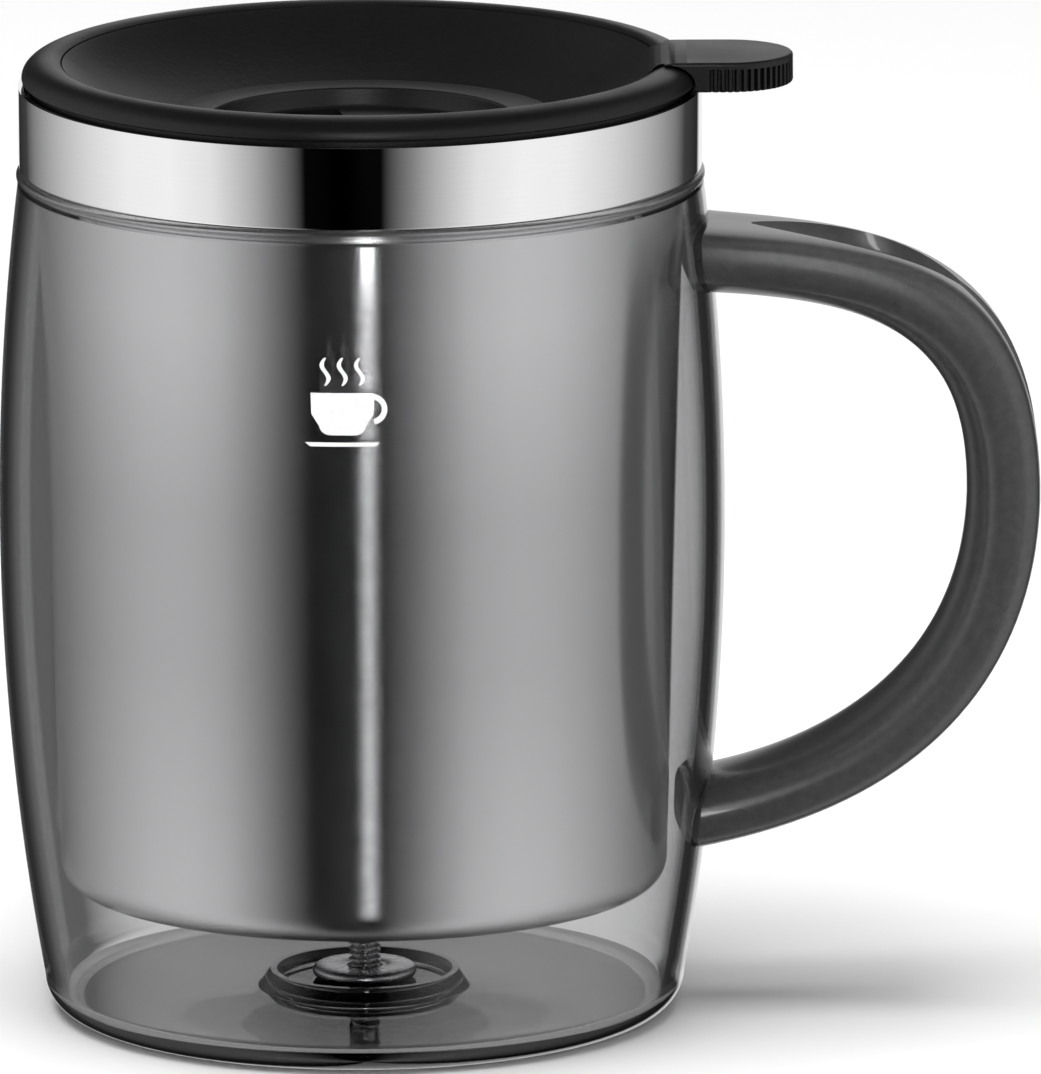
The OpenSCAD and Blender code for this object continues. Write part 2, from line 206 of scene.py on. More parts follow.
def makeStudio():
    world = bpy.data.worlds.new("studio")
    bpy.context.scene.world = world
    world.use_nodes = True
    nodes = world.node_tree.nodes
    links = world.node_tree.links
    nodes.clear()

    def add(kind, **settings):
        made = nodes.new(kind)
        for key, value in settings.items():
            setattr(made, key, value)
        return made

    def calc(operation, a, b=None, c=None, clamp=False):
        made = add("ShaderNodeMath", operation=operation, use_clamp=clamp)
        for socket, value in zip(made.inputs, (a, b, c)):
            if value is None:
                continue
            if isinstance(value, (int, float)):
                socket.default_value = value
            else:
                links.new(value, socket)
        return made.outputs[0]

    def band(value, centre, halfWidth, soft):
        away = calc("ABSOLUTE", calc("SUBTRACT", value, centre))
        past = calc("DIVIDE", calc("SUBTRACT", away, halfWidth), soft, clamp=True)
        return calc("SUBTRACT", 1, past, clamp=True)

    direction = add("ShaderNodeTexCoord").outputs["Generated"]
    axes = add("ShaderNodeSeparateXYZ")
    links.new(direction, axes.inputs[0])
    # degrees round from the front, and degrees up
    towards = calc("MULTIPLY", axes.outputs["Y"], -1)
    turn = calc("MULTIPLY", calc("ARCTAN2", axes.outputs["X"], towards), math.degrees(1))
    height = calc("MULTIPLY", calc("ARCSINE", axes.outputs["Z"]), math.degrees(1))
    offAxis = calc("DIVIDE", calc("ABSOLUTE", calc("SUBTRACT", turn, studio["centre"])), 180)
    ramp = add("ShaderNodeValToRGB")
    ramp.color_ramp.interpolation = "LINEAR"
    links.new(offAxis, ramp.inputs[0])
    stops = ramp.color_ramp.elements
    for i, (at, bright) in enumerate(studio["around"]):
        stop = stops[i] if i < 2 else stops.new(at / 180)
        stop.position = at / 180
        stop.color = (bright,) * 3 + (1,)
    overheadMask = calc("DIVIDE", calc("SUBTRACT", height, 35), 20, clamp=True)
    # what is seen through the clear base lies low and behind the mug
    low = calc("MULTIPLY", calc("DIVIDE", calc("SUBTRACT", 2, height), 6, clamp=True),
               calc("GREATER_THAN", offAxis, 0.85))
    dimmed = calc("SUBTRACT", 1, calc("MULTIPLY", low, 1 - studio["behindLow"]))
    side = calc("MULTIPLY", calc("MULTIPLY", ramp.outputs[0], dimmed), calc("SUBTRACT", 1, overheadMask))
    top = calc("MULTIPLY", overheadMask, studio["overhead"])
    strip = studio["strip"]
    middle = (strip["low"] + strip["high"]) / 2
    lit = calc("MULTIPLY", band(turn, strip["centre"], strip["halfWidth"], 0.8),
               band(height, middle, middle - strip["low"], 4))
    total = calc("ADD", calc("ADD", side, top), calc("MULTIPLY", lit, strip["power"]))
    tone = add("ShaderNodeCombineColor")
    for socket in tone.inputs[:3]:
        links.new(total, socket)
    background = add("ShaderNodeBackground")
    links.new(tone.outputs[0], background.inputs["Color"])
    plain = add("ShaderNodeBackground")
    plain.inputs["Color"].default_value = (studio["backdrop"],) * 3 + (1,)
    mix = add("ShaderNodeMixShader")
    links.new(add("ShaderNodeLightPath").outputs["Is Camera Ray"], mix.inputs[0])
    links.new(background.outputs[0], mix.inputs[1])
    links.new(plain.outputs[0], mix.inputs[2])
    links.new(mix.outputs[0], add("ShaderNodeOutputWorld").inputs["Surface"])


def makeSoftbox():
    # lights the floor and matt faces from above and stays out of the polished ones
    box = studio["softbox"]
    clearSelection()
    bpy.ops.object.light_add(type="AREA", location=(-0.2, -0.3, box["height"]))
    lamp = bpy.context.object
    lamp.name = "softbox"
    lamp.data.size = box["size"]
    lamp.data.energy = box["power"]
    lamp.visible_glossy = False
    lamp.visible_camera = False
    lamp.visible_transmission = False


makeCamera()
makeFloor()
makeStudio()
makeSoftbox()
bpy.context.scene.view_settings.view_transform = "Standard"
print("camera, floor and studio made")


# material helpers

def startMaterial(name):
    material = bpy.data.materials.new(name)
    material.use_nodes = True
    return material, material.node_tree.nodes["Principled BSDF"]


def addNode(tree, kind, values=None, **settings):
    made = tree.nodes.new(kind)
    for key, value in settings.items():
        setattr(made, key, value)
    for key, value in (values or {}).items():
        made.inputs[key].default_value = value
    return made


def newGroup(name, inputs, outputs):
    group = bpy.data.node_groups.new(name, "ShaderNodeTree")
    for label, kind, default in inputs:
        socket = group.interface.new_socket(label, in_out="INPUT", socket_type=kind)
        socket.default_value = default
    for label, kind in outputs:
        group.interface.new_socket(label, in_out="OUTPUT", socket_type=kind)
    return group, group.nodes.new("NodeGroupInput"), group.nodes.new("NodeGroupOutput")


def makeGrainGroup():
    # moulded grain: fine bump, a roughness that drifts and a colour that drifts
    group, given, result = newGroup(
        "mouldedGrain",
        [("Colour", "NodeSocketColor", (0.02, 0.02, 0.02, 1)), ("Grain Size", "NodeSocketFloat", 1800.0),
         ("Grain Depth", "NodeSocketFloat", 0.03), ("Rough Low", "NodeSocketFloat", 0.35),
         ("Rough High", "NodeSocketFloat", 0.5)],
        [("Colour", "NodeSocketColor"), ("Roughness", "NodeSocketFloat"), ("Normal", "NodeSocketVector")],
    )
    where = addNode(group, "ShaderNodeTexCoord").outputs["Object"]
    fine = addNode(group, "ShaderNodeTexNoise", {"Detail": 3.0, "Roughness": 0.6})
    broad = addNode(group, "ShaderNodeTexNoise", {"Scale": 55.0, "Detail": 2.0})
    for noise in (fine, broad):
        group.links.new(where, noise.inputs["Vector"])
    group.links.new(given.outputs["Grain Size"], fine.inputs["Scale"])
    bump = addNode(group, "ShaderNodeBump", {"Distance": 0.0001})
    group.links.new(fine.outputs["Fac"], bump.inputs["Height"])
    group.links.new(given.outputs["Grain Depth"], bump.inputs["Strength"])
    rough = addNode(group, "ShaderNodeMapRange", {"From Min": 0.3, "From Max": 0.7})
    group.links.new(broad.outputs["Fac"], rough.inputs["Value"])
    group.links.new(given.outputs["Rough Low"], rough.inputs["To Min"])
    group.links.new(given.outputs["Rough High"], rough.inputs["To Max"])
    drift = addNode(group, "ShaderNodeMapRange",
                    {"From Min": 0.25, "From Max": 0.75, "To Min": 0.8, "To Max": 1.25})
    group.links.new(fine.outputs["Fac"], drift.inputs["Value"])
    tint = addNode(group, "ShaderNodeMix", data_type="RGBA", blend_type="MULTIPLY")
    tint.inputs["Factor"].default_value = 1.0
    group.links.new(given.outputs["Colour"], tint.inputs["A"])
    group.links.new(drift.outputs["Result"], tint.inputs["B"])
    group.links.new(tint.outputs["Result"], result.inputs["Colour"])
    group.links.new(rough.outputs["Result"], result.inputs["Roughness"])
    group.links.new(bump.outputs["Normal"], result.inputs["Normal"])
    return group


grainGroup = makeGrainGroup()


def grainMaterial(name, colour, size, depth, rough, **sockets):
    material, shader = startMaterial(name)
    tree = material.node_tree
    grain = addNode(tree, "ShaderNodeGroup", node_tree=grainGroup)
    grain.inputs["Colour"].default_value = (*colour, 1)
    grain.inputs["Grain Size"].default_value = size
    grain.inputs["Grain Depth"].default_value = depth
    grain.inputs["Rough Low"].default_value = rough[0]
    grain.inputs["Rough High"].default_value = rough[1]
    tree.links.new(grain.outputs["Colour"], shader.inputs["Base Color"])
    tree.links.new(grain.outputs["Roughness"], shader.inputs["Roughness"])
    tree.links.new(grain.outputs["Normal"], shader.inputs["Normal"])
    for key, value in sockets.items():
        shader.inputs[key].default_value = value
    return material


def makeBrushGroup():
    # lines that run round the mug's axis: long along the turn, very fine up and down
    group, given, result = newGroup(
        "turnedLines",
        [("Lines", "NodeSocketFloat", 5000.0), ("Depth", "NodeSocketFloat", 0.1)],
        [("Lines", "NodeSocketFloat"), ("Normal", "NodeSocketVector")],
    )
    where = addNode(group, "ShaderNodeTexCoord").outputs["Object"]
    axes = addNode(group, "ShaderNodeSeparateXYZ")
    group.links.new(where, axes.inputs[0])
    turn = addNode(group, "ShaderNodeMath", operation="ARCTAN2")
    group.links.new(axes.outputs["Y"], turn.inputs[0])
    group.links.new(axes.outputs["X"], turn.inputs[1])
    stretch = addNode(group, "ShaderNodeMath", {1: 6.0}, operation="MULTIPLY")
    group.links.new(turn.outputs[0], stretch.inputs[0])
    fine = addNode(group, "ShaderNodeMath", operation="MULTIPLY")
    group.links.new(axes.outputs["Z"], fine.inputs[0])
    group.links.new(given.outputs["Lines"], fine.inputs[1])
    spot = addNode(group, "ShaderNodeCombineXYZ")
    group.links.new(stretch.outputs[0], spot.inputs["X"])
    group.links.new(fine.outputs[0], spot.inputs["Z"])
    noise = addNode(group, "ShaderNodeTexNoise", {"Scale": 1.0, "Detail": 3.0, "Roughness": 0.65})
    group.links.new(spot.outputs[0], noise.inputs["Vector"])
    bump = addNode(group, "ShaderNodeBump", {"Distance": 0.0001})
    group.links.new(noise.outputs["Fac"], bump.inputs["Height"])
    group.links.new(given.outputs["Depth"], bump.inputs["Strength"])
    group.links.new(noise.outputs["Fac"], result.inputs["Lines"])
    group.links.new(bump.outputs["Normal"], result.inputs["Normal"])
    return group


brushGroup = makeBrushGroup()


def steelMaterial(name, colour, rough, lines, depth, anisotropic, polishedAbove=1, paintedMiddleShade=1.0):
    # polishedAbove is the height, in metres, over which the surface is polished and not brushed
    material, shader = startMaterial(name)
    tree = material.node_tree
    brush = addNode(tree, "ShaderNodeGroup", node_tree=brushGroup)
    brush.inputs["Lines"].default_value = lines
    spread = addNode(tree, "ShaderNodeMapRange",
                     {"From Min": 0.25, "From Max": 0.75, "To Min": rough[0], "To Max": rough[1]})
    shade = addNode(tree, "ShaderNodeMapRange",
                    {"From Min": 0.2, "From Max": 0.8, "To Min": 0.94, "To Max": 1.0})
    tint = addNode(tree, "ShaderNodeMix", data_type="RGBA", blend_type="MULTIPLY")
    tint.inputs["Factor"].default_value = 1.0
    # painted shade: the base colour is darker over the cup's middle, and a little darker low down, than at its
    # top
    height = addNode(tree, "ShaderNodeValToRGB")
    paintedShadeLevels = ((0.12, 0.96), (0.2, 0.92), (0.42, paintedMiddleShade), (0.58, paintedMiddleShade), (0.78, 1.0), (1.0, 1.0))
    for i, (at, level) in enumerate(paintedShadeLevels):
        stop = height.color_ramp.elements[i] if i < 2 else height.color_ramp.elements.new(at)
        stop.position = at
        stop.color = (colour[0] * level, colour[1] * level, colour[2] * level, 1)
    for target in (spread, shade):
        tree.links.new(brush.outputs["Lines"], target.inputs["Value"])
    tree.links.new(shade.outputs["Result"], tint.inputs["B"])
    tree.links.new(tint.outputs["Result"], shader.inputs["Base Color"])
    where = addNode(tree, "ShaderNodeTexCoord")
    axes = addNode(tree, "ShaderNodeSeparateXYZ")
    edge = {"From Min": polishedAbove - 0.0005, "From Max": polishedAbove + 0.0005}
    polish = addNode(tree, "ShaderNodeMapRange", {**edge, "To Min": 1.0, "To Max": 0.12})
    gloss = addNode(tree, "ShaderNodeMath", operation="MULTIPLY")
    tree.links.new(where.outputs["Object"], axes.inputs[0])
    share = addNode(tree, "ShaderNodeMath", {1: 1 / 0.12}, operation="MULTIPLY")  # of 0.12 m
    tree.links.new(axes.outputs["Z"], share.inputs[0])
    tree.links.new(share.outputs[0], height.inputs[0])
    tree.links.new(height.outputs[0], tint.inputs["A"])
    tree.links.new(axes.outputs["Z"], polish.inputs["Value"])
    tree.links.new(polish.outputs["Result"], gloss.inputs[0])
    tree.links.new(spread.outputs["Result"], gloss.inputs[1])
    tree.links.new(gloss.outputs[0], shader.inputs["Roughness"])
    tree.links.new(brush.outputs["Normal"], shader.inputs["Normal"])
    relief = addNode(tree, "ShaderNodeMapRange", {**edge, "To Min": depth, "To Max": 0.002})
    tree.links.new(axes.outputs["Z"], relief.inputs["Value"])
    tree.links.new(relief.outputs["Result"], brush.inputs["Depth"])
    shader.inputs["Metallic"].default_value = 1.0
    shader.inputs["Anisotropic"].default_value = anisotropic
    shader.inputs["Anisotropic Rotation"].default_value = 0.25
    if anisotropic:
        tangent = addNode(tree, "ShaderNodeTangent", direction_type="RADIAL", axis="Z")
        tree.links.new(tangent.outputs[0], shader.inputs["Tangent"])
    return material


def clearMaterial(name, colour, rough, smoke, density):
    material, shader = startMaterial(name)
    tree = material.node_tree
    shader.inputs["Base Color"].default_value = (*colour, 1)
    shader.inputs["Transmission Weight"].default_value = 1.0
    shader.inputs["IOR"].default_value = 1.49
    haze = addNode(tree, "ShaderNodeTexNoise", {"Scale": 90.0, "Detail": 2.0})
    where = addNode(tree, "ShaderNodeTexCoord")
    spread = addNode(tree, "ShaderNodeMapRange", {"To Min": rough[0], "To Max": rough[1]})
    tree.links.new(where.outputs["Object"], haze.inputs["Vector"])
    tree.links.new(haze.outputs["Fac"], spread.inputs["Value"])
    tree.links.new(spread.outputs["Result"], shader.inputs["Roughness"])
    if density:
        depth = addNode(tree, "ShaderNodeVolumeAbsorption", {"Color": (*smoke, 1), "Density": density})
        output = tree.nodes["Material Output"]
        tree.links.new(depth.outputs[0], output.inputs["Volume"])
    return material


# barrel shell

barrel = dict(
    widest=45.2, bulge=335, widestAt=63.3, mouth=nodeTop("outer_shell"),
    wall=2.3, floor=2.7, footCorner=4.6, innerCorner=1.6,
    bossFoot=13.0, bossRim=11.8, bossTop=4.8, bossFace=3.5, recess=11.0, recessTop=2.3, hole=2.2,
)


def barrelRadius(z, inset=0):
    b = barrel
    return b["widest"] - b["bulge"] + math.sqrt((b["bulge"] - inset) ** 2 - (z - b["widestAt"]) ** 2)


def barrelSide(inset, low, high, steps=56):
    heights = [low + (high - low) * i / steps for i in range(steps + 1)]
    return [(barrelRadius(z, inset), z) for z in heights]


def makeShell():
    b = barrel
    lean = 10  # degrees that the side leans where the foot's corner meets it
    footEdge = barrelRadius(b["footCorner"]) - b["footCorner"]
    floorEdge = barrelRadius(b["floor"] + b["innerCorner"], b["wall"]) - b["innerCorner"]
    outline = [(b["hole"], b["recessTop"])]
    outline += arcPoints((b["recess"] - 0.5, b["recessTop"] - 0.5), 0.5, 90, 0, 4)
    outline += [(b["recess"], 0.2), (b["recess"] + 0.2, 0)]
    outline += arcPoints((footEdge, b["footCorner"]), b["footCorner"], -90, -lean, 12)
    outline += barrelSide(0, b["footCorner"] + 0.6, b["mouth"] - 0.3)
    outline += [(barrelRadius(b["mouth"]) - 0.3, b["mouth"])]
    outline += barrelSide(b["wall"], b["floor"] + b["innerCorner"] + 0.5, b["mouth"])[::-1]
    outline += arcPoints((floorEdge, b["floor"] + b["innerCorner"]), b["innerCorner"], -lean, -90, 10)
    outline += arcPoints((b["bossFoot"] + 0.4, b["floor"] + 0.4), 0.4, -90, -135, 3)
    outline += [(b["bossRim"], b["bossTop"]), (b["bossRim"] - 0.8, b["bossTop"])]
    outline += arcPoints((b["bossRim"] - 1.6, b["bossFace"] + 0.3), 0.3, -30, -90, 4)
    outline += [(b["hole"], b["bossFace"])]
    return turnOutline("barrelShell", outline, steps=192)


smoke = clearMaterial("clearSmoke", (0.96, 0.96, 0.965), (0.0, 0.02), (0.30, 0.30, 0.31), 130)
shell = makeShell()
place(shell, "mug", "clear_smoke", smoke, "outer_shell")
print("barrel shell made")


# steel cup

cup = dict(
    band=nodeReach("steel_liner"), top=nodeTop("steel_liner"), shoulder=106.7, sheet=0.6,
    upper=40.0, lower=38.0, bottom=nodeBottom("steel_liner"), corner=4.0,
)


def makeCup():
    c = cup
    lowCentre = (c["lower"] - c["corner"], c["bottom"] + c["corner"])
    outside = [(0, c["bottom"])] + arcPoints(lowCentre, c["corner"], -90, 2, 12)
    outside += [(c["upper"], c["shoulder"] - 1.2)]
    outside += arcPoints((c["upper"] + 0.8, c["shoulder"] - 0.8), 0.8, 180, 90, 6)
    outside += arcPoints((c["band"] - 0.5, c["shoulder"] + 0.5), 0.5, -90, 0, 6)
    lip = [(c["band"], c["top"])]
    lip += arcPoints((c["band"] - c["sheet"] + 0.1, c["top"] - 0.1), 0.1, 90, 180, 3)
    inside = [(c["band"] - c["sheet"], c["shoulder"] + c["sheet"] + 0.4)]
    inside += arcPoints((c["band"] - c["sheet"] - 0.4, c["shoulder"] + c["sheet"] + 0.4), 0.4, 0, -90, 4)
    inside += arcPoints((c["upper"] - c["sheet"] + 1.0, c["shoulder"] + c["sheet"] - 1.0), 1.0, 90, 180, 6)
    inside += arcPoints(lowCentre, c["corner"] - c["sheet"], 2, -90, 12) + [(0, c["bottom"] + c["sheet"])]
    return turnOutline("steelCup", outside + lip + inside, close=False, steps=192)


# the last number is the painted shade that darkens the cup's colour over its middle to 0.77
steel = steelMaterial("brushedSteel", (0.96, 0.96, 0.965), (0.17, 0.24), 9000, 0.03, 1.0,
                      cup["shoulder"] * mm, 0.77)
steelCup = makeCup()
place(steelCup, "mug", "steel", steel, "steel_liner")
print("steel cup made")


# mouth gasket, stud and nuts

gasket = dict(inner=40.6, outer=42.5, low=nodeBottom("lip_gasket"), high=nodeTop("lip_gasket"))


def makeMouthGasket():
    g = gasket
    outline = [(g["inner"], g["low"] + 0.02), (g["outer"] - 0.35, g["low"] + 0.02)]
    outline += arcPoints((g["outer"] - 0.35, (g["low"] + g["high"]) / 2), 0.62, -70, 70, 8)
    outline += [(g["outer"] - 0.35, g["high"] - 0.02), (g["inner"], g["high"] - 0.02)]
    return turnOutline("mouthGasket", outline, steps=192)


clearRubber = clearMaterial("clearRubber", (0.86, 0.86, 0.87), (0.15, 0.25), (0.6, 0.6, 0.6), 0)
mouthGasket = makeMouthGasket()
place(mouthGasket, "mug", "clear_gasket", clearRubber, "lip_gasket")

thread = dict(crest=2.0, root=1.55, pitch=0.7, low=nodeBottom("stud"), high=nodeTop("stud"), steps=32)


def makeStud():
    t = thread
    half = t["pitch"] / 2
    flat = 0.08
    turns = int((t["high"] - t["low"]) / t["pitch"]) - 1
    z = t["low"]
    rise = [(t["root"], 0, z), (t["root"], 0, z + flat), (t["crest"], 0, z + half - flat),
            (t["crest"], 0, z + half + flat), (t["root"], 0, z + t["pitch"])]
    stud = drawOutline("threadedStud", rise, close=False)
    bpy.ops.object.mode_set(mode="OBJECT")
    applyModifier(stud, "SCREW", angle=2 * math.pi, screw_offset=t["pitch"] * mm, iterations=turns,
                  steps=t["steps"], render_steps=t["steps"], use_merge_vertices=True,
                  merge_threshold=0.002 * mm)
    bpy.ops.object.mode_set(mode="EDIT")
    bpy.ops.mesh.select_all(action="SELECT")
    bpy.ops.mesh.remove_doubles(threshold=0.003 * mm)
    bpy.ops.mesh.select_all(action="DESELECT")
    bpy.ops.mesh.select_mode(type="EDGE")
    bpy.ops.mesh.select_non_manifold()
    bpy.ops.mesh.fill_holes(sides=0)
    closeSkin(30)
    return stud


fastenerSteel = steelMaterial("turnedSteel", (0.62, 0.62, 0.63), (0.2, 0.34), 16000, 0.2, 0.0)
stud = makeStud()
place(stud, "mug", "fastener_steel", fastenerSteel, "stud")

nut = dict(reach=6.5, low=3.75, high=5.2, bore=1.95)


def makeStopNut():
    n = nut
    half = (n["high"] - n["low"]) / 2
    outline = [(n["bore"], n["low"]), (n["reach"] - half, n["low"])]
    outline += arcPoints((n["reach"] - half, n["low"] + half), half, -90, 60, 10)
    outline += [(n["reach"] - half * 0.7, n["high"] - 0.02), (n["bore"] + 1.1, n["high"] - 0.02)]
    outline += [(n["bore"] + 0.9, n["high"] - 0.12), (n["bore"] + 0.35, n["high"] - 0.12)]
    outline += [(n["bore"], n["high"] - 0.4)]
    return turnOutline("stopNut", outline, steps=128)


stopNut = makeStopNut()
place(stopNut, "mug", "fastener_steel", fastenerSteel, "stop_nut")
print("gasket, stud and nut made")


# handle

handle = dict(
    upper=[(41.8, 95.6), (62, 94.2), (80.2, 92.4), (79.85, 65)],
    lower=[(79.85, 65), (79.25, 42.8), (64.3, 29.4), (41, 25.3)],
    thickEnds=8.1, thickMiddle=1.0, thickBend=0.5, wide=18.5, outerPower=4.5, innerPower=2.4,
    rings=72, halfPoints=20,
    slotFrom=0.05, slotTo=0.30, slotHalf=5.4, slotDeep=5.0,
    grooveFrom=0.26, grooveTo=0.64, grooveHalf=4.2, grooveDeep=1.7,
)


def bezier(points, t):
    weights = ((1 - t) ** 3, 3 * (1 - t) ** 2 * t, 3 * (1 - t) * t * t, t ** 3)
    x = sum(w * p[0] for w, p in zip(weights, points))
    z = sum(w * p[1] for w, p in zip(weights, points))
    return Vector((x, 0, z))


def spinePoint(s):
    return bezier(handle["upper"], 2 * s) if s < 0.5 else bezier(handle["lower"], 2 * s - 1)


def spineLean(s):
    # angle of the outward normal from straight up, turned towards the handle's side
    ahead = spinePoint(min(1, s + 0.002)) - spinePoint(max(0, s - 0.002))
    return math.atan2(-ahead.z, ahead.x)


def rootFlare(s):
    return 1.4 * (math.exp(-s * 16) + 0.6 * math.exp((s - 1) * 16))


def handleThick(s):
    h = handle
    bend = h["thickBend"] * math.exp(-((s - 0.3) / 0.1) ** 2)
    return h["thickEnds"] + h["thickMiddle"] * math.sin(math.pi * s) + bend + 0.4 * rootFlare(s)


def handleWide(s):
    return handle["wide"] + 1.2 * rootFlare(s)


def handleSection(halfPoints):
    # half widths and half thicknesses of 1, outer face first
    section = []
    for j in range(2 * halfPoints):
        across = math.cos(math.pi * j / halfPoints)
        power = handle["outerPower"] if j <= halfPoints else handle["innerPower"]
        out = max(0, 1 - abs(across) ** power) ** (1 / power)
        section.append((across, out if j <= halfPoints else -out))
    return section


def sweepAlongSpine(name, section, stations, sizeAt, outAt):
    # the section is drawn at the first station, then extruded, turned and resized along the spine
    def centreAt(s):
        lean = spineLean(s)
        return spinePoint(s) + Vector((math.sin(lean), 0, math.cos(lean))) * outAt(s)

    lean = spineLean(stations[0])
    halfWide, halfThick = sizeAt(stations[0])
    normal = Vector((math.sin(lean), 0, math.cos(lean)))
    centre = centreAt(stations[0])
    points = [centre + Vector((0, across * halfWide, 0)) + normal * out * halfThick for across, out in section]
    piece = drawOutline(name, [tuple(p) for p in points])
    bpy.ops.mesh.edge_face_add()
    for before, after in zip(stations, stations[1:]):
        centre = centreAt(after)
        newLean = spineLean(after)
        wide, thick = sizeAt(after)
        step = (centre - centreAt(before)) * mm
        bpy.ops.mesh.extrude_region_move(TRANSFORM_OT_translate={"value": step})
        bpy.ops.transform.rotate(value=lean - newLean, orient_axis="Y", center_override=centre * mm)
        bpy.ops.transform.resize(
            value=(1, wide / halfWide, thick / halfThick), orient_type="GLOBAL", orient_matrix_type="GLOBAL",
            orient_matrix=Matrix.Rotation(newLean, 3, "Y"), center_override=centre * mm)
        lean, halfWide, halfThick = newLean, wide, thick
    closeSkin(40)
    return piece


def swell(s, low, high):
    return math.sin(math.pi * (s - low) / (high - low)) ** 0.75


def makeHandle():
    h = handle
    stations = [i / h["rings"] for i in range(h["rings"] + 1)]
    body = sweepAlongSpine("cHandle", handleSection(h["halfPoints"]), stations,
                           lambda s: (handleWide(s) / 2, handleThick(s) / 2), lambda s: 0)
    circle = [(math.cos(math.pi * i / 12), math.sin(math.pi * i / 12)) for i in range(24)]
    for low, high, half, deep in ((h["slotFrom"], h["slotTo"], h["slotHalf"], h["slotDeep"]),
                                  (h["grooveFrom"], h["grooveTo"], h["grooveHalf"], h["grooveDeep"])):
        inner = [low + (high - low) * (0.012 + 0.976 * i / 30) for i in range(31)]
        cutter = sweepAlongSpine(
            "spineCutter", circle, inner,
            lambda s: (half * swell(s, low, high), deep * swell(s, low, high) + 0.05),
            lambda s: handleThick(s) / 2)
        combine(body, cutter, "DIFFERENCE")
    smoothByAngle(body, 32)
    return body


handleSmoke = grainMaterial("satinSmoke", (0.045, 0.045, 0.046), 900, 0.03, (0.26, 0.32),
                            **{"Coat Weight": 0.3})
cHandle = makeHandle()
place(cHandle, "mug", "handle_smoke", handleSmoke, "handle")
print("handle made")


# lid

lid = dict(
    reach=42.0, low=117.8, crest=38.6, top=nodeTop("lid_shell"), shoulder=118.2, steps=40, bowlSteps=30,
    basin=24.4, basinTop=112.9, basinFloor=109.0, wall=1.6, floorWall=1.6, hubHole=4.0,
    skirt=41.0, skirtIn=38.6, skirtLow=nodeBottom("lid_shell"),
    grooveIn=39.9, grooveLow=111.4, grooveTop=114.6,
)

closure = dict(
    disc=24.0, land=18.8, top=113.0, low=109.3, plate=1.3, hub=3.95, hubLow=105.4, bowl=1.2, gap=0.35,
    grooveIn=2.98, ringGroove=(107.7, 108.7), clipGroove=(106.58, 107.32),
    wide=16.3, reach=nodeReach("closure_disc"), leverTop=nodeTop("closure_disc"), leverLow=117.3,
    ribs=16, ribStep=6.5, ribDeep=0.65, ribTop=0.85,
)


def funnelPoint(t):
    # from the disc's edge up the cone and over the rolled rim's crest
    d = lid
    corners = [(d["basin"], d["basinTop"]), (d["crest"] - 4, d["shoulder"] - 0.8),
               (d["crest"] - 2, d["top"]), (d["crest"], d["top"])]
    point = bezier(corners, t)
    return point.x, point.z


def rimFace(gap):
    d = lid
    first = d["bowlSteps"] + 1
    inside = [funnelPoint(i / d["steps"]) for i in range(first, d["steps"] + 1)]
    face = [(r, z + gap) for r, z in inside]
    for i in range(1, 15):
        turn = math.pi / 2 * i / 14
        face.append((d["crest"] + (d["reach"] + gap - d["crest"]) * math.sin(turn),
                     d["shoulder"] + (d["top"] + gap - d["shoulder"]) * math.cos(turn)))
    return face


def makeLid():
    d = lid
    drop = closure["bowl"] + closure["gap"]
    seat = [funnelPoint(i / d["steps"]) for i in range(d["bowlSteps"] + 2)]
    outline = [(d["hubHole"], d["basinFloor"]), (d["basin"] - 0.3, d["basinFloor"])]
    outline += [(d["basin"], d["basinFloor"] + 0.3)] + [(r, z - drop) for r, z in seat]
    outline += rimFace(0)
    outline += arcPoints((d["reach"] - 0.35, d["low"] + 0.35), 0.35, 0, -90, 4)
    outline += [(d["skirt"], d["low"]), (d["skirt"], d["grooveTop"]), (d["grooveIn"], d["grooveTop"])]
    outline += [(d["grooveIn"], d["grooveLow"]), (d["skirt"], d["grooveLow"]), (d["skirt"], d["skirtLow"] + 0.3)]
    outline += [(d["skirt"] - 0.3, d["skirtLow"]), (d["skirtIn"], d["skirtLow"]), (d["skirtIn"], d["top"] - 2.2)]
    for i in range(d["bowlSteps"] + 1, 1, -1):
        r, z = funnelPoint(i / d["steps"])
        outline.append((r + 0.5, min(z - drop - d["wall"] * 1.1, d["top"] - 2.2)))
    underside = d["basinFloor"] - d["floorWall"]
    outline += [(d["basin"] + d["wall"], underside), (d["hubHole"], underside)]
    body = turnOutline("lidShell", outline, steps=192)
    combine(body, makeSlotCutter("lidSlotCutter", 180, d["basinFloor"] - 3, 6), "DIFFERENCE")
    smoothByAngle(body, 35)
    return body


drinkSlot = dict(inner=13.0, outer=17.5, halfAngle=20, open=60)


def makeSlotCutter(name, towards, low, height):
    s = drinkSlot
    outer = arcPoints((0, 0), s["outer"], towards - s["halfAngle"], towards + s["halfAngle"], 16)
    inner = arcPoints((0, 0), s["inner"], towards + s["halfAngle"], towards - s["halfAngle"], 16)
    return extrudeOutline(name, [(x, y, low) for x, y in outer + inner], (0, 0, height))


lidBlack = grainMaterial("lidBlack", (0.003, 0.003, 0.003), 1300, 0.25, (0.36, 0.46),
                         **{"Specular IOR Level": 0.36})
lidShell = makeLid()
place(lidShell, "lid", "lid_black", lidBlack, "lid_shell")
print("lid made")


# rotary closure

